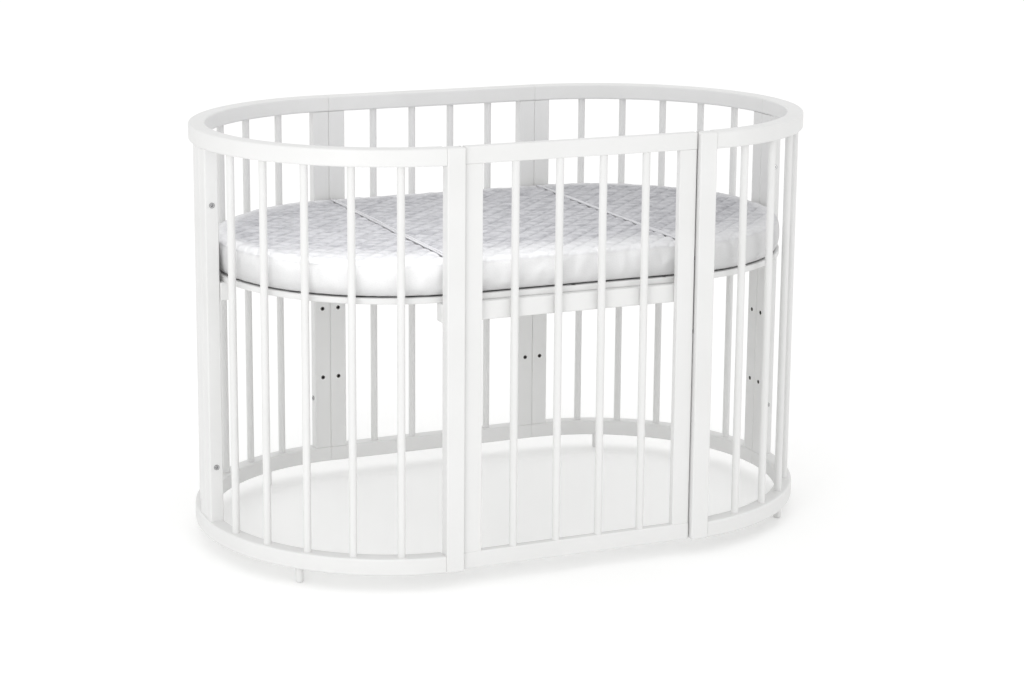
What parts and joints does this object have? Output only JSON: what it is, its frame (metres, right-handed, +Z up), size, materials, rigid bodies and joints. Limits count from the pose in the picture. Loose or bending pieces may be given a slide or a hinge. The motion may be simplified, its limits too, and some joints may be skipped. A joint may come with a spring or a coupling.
{
  "type": "baby crib",
  "caption": "Oval baby crib in white painted wood with slatted curved sides, a lift-out front panel, a height-adjustable base and a quilted sectional mattress.",
  "frame": {"origin": "on the floor under the middle of the oval", "axes": "+X along the crib's length, -Y towards the lift-out front panel, +Z up"},
  "size_m": [1.32, 0.82, 0.869],
  "materials": {
    "painted_wood": "satin white paint",
    "painted_foot": "satin white paint",
    "base_board": "satin white paint",
    "dowel_wood": "bare beech",
    "mattress_cover": "quilted knit",
    "bolt_steel": "zinc plated",
    "screw_steel": "zinc plated",
    "insert_steel": "zinc plated",
    "pin_plastic": "moulded"
  },
  "bodies": {
    "frame": {"front_left_top_rail": "painted_wood", "front_left_bottom_rail": "painted_wood", "front_left_spindles": "painted_wood", "front_left_end_stile": "painted_wood", "front_left_post": "painted_wood", "back_left_top_rail": "painted_wood", "back_left_bottom_rail": "painted_wood", "back_left_spindles": "painted_wood", "back_left_end_stile": "painted_wood", "back_left_back_stile": "painted_wood", "back_right_top_rail": "painted_wood", "back_right_bottom_rail": "painted_wood", "back_right_spindles": "painted_wood", "back_right_end_stile": "painted_wood", "back_right_back_stile": "painted_wood", "front_right_top_rail": "painted_wood", "front_right_bottom_rail": "painted_wood", "front_right_spindles": "painted_wood", "front_right_end_stile": "painted_wood", "front_right_post": "painted_wood", "back_panel_top_rail": "painted_wood", "back_panel_bottom_rail": "painted_wood", "back_panel_left_stile": "painted_wood", "back_panel_right_stile": "painted_wood", "back_panel_spindles": "painted_wood", "feet": "painted_foot", "joint_bolts": "bolt_steel", "joint_nuts": "bolt_steel", "height_inserts": "insert_steel", "frame_dowels": "dowel_wood"},
    "front_panel": {"front_panel_top_rail": "painted_wood", "front_panel_bottom_rail": "painted_wood", "front_panel_left_stile": "painted_wood", "front_panel_right_stile": "painted_wood", "front_panel_spindles": "painted_wood", "front_panel_pins": "pin_plastic", "front_panel_dowels": "dowel_wood"},
    "mattress_base": {"left_base_board": "base_board", "middle_base_board": "base_board", "right_base_board": "base_board", "front_beam": "painted_wood", "back_beam": "painted_wood", "left_end_cleat": "painted_wood", "right_end_cleat": "painted_wood", "base_bolts": "bolt_steel", "board_screws": "screw_steel"},
    "mattress_left": {"mattress_left": "mattress_cover"},
    "mattress_middle": {"mattress_middle": "mattress_cover"},
    "mattress_right": {"mattress_right": "mattress_cover"}
  },
  "joints": [
    {"name": "front_panel_lift", "type": "slide", "parent": "frame", "child": "front_panel", "axis": [0, 0, 1], "range_m": [0, 0.42]},
    {"name": "base_height", "type": "slide", "parent": "frame", "child": "mattress_base", "axis": [0, 0, 1], "range_m": [-0.318, 0]},
    {"name": "mattress_left_lift", "type": "slide", "parent": "mattress_base", "child": "mattress_left", "axis": [0, 0, 1], "range_m": [0, 0.31]},
    {"name": "mattress_middle_lift", "type": "slide", "parent": "mattress_base", "child": "mattress_middle", "axis": [0, 0, 1], "range_m": [0, 0.31]},
    {"name": "mattress_right_lift", "type": "slide", "parent": "mattress_base", "child": "mattress_right", "axis": [0, 0, 1], "range_m": [0, 0.31]}
  ]
}
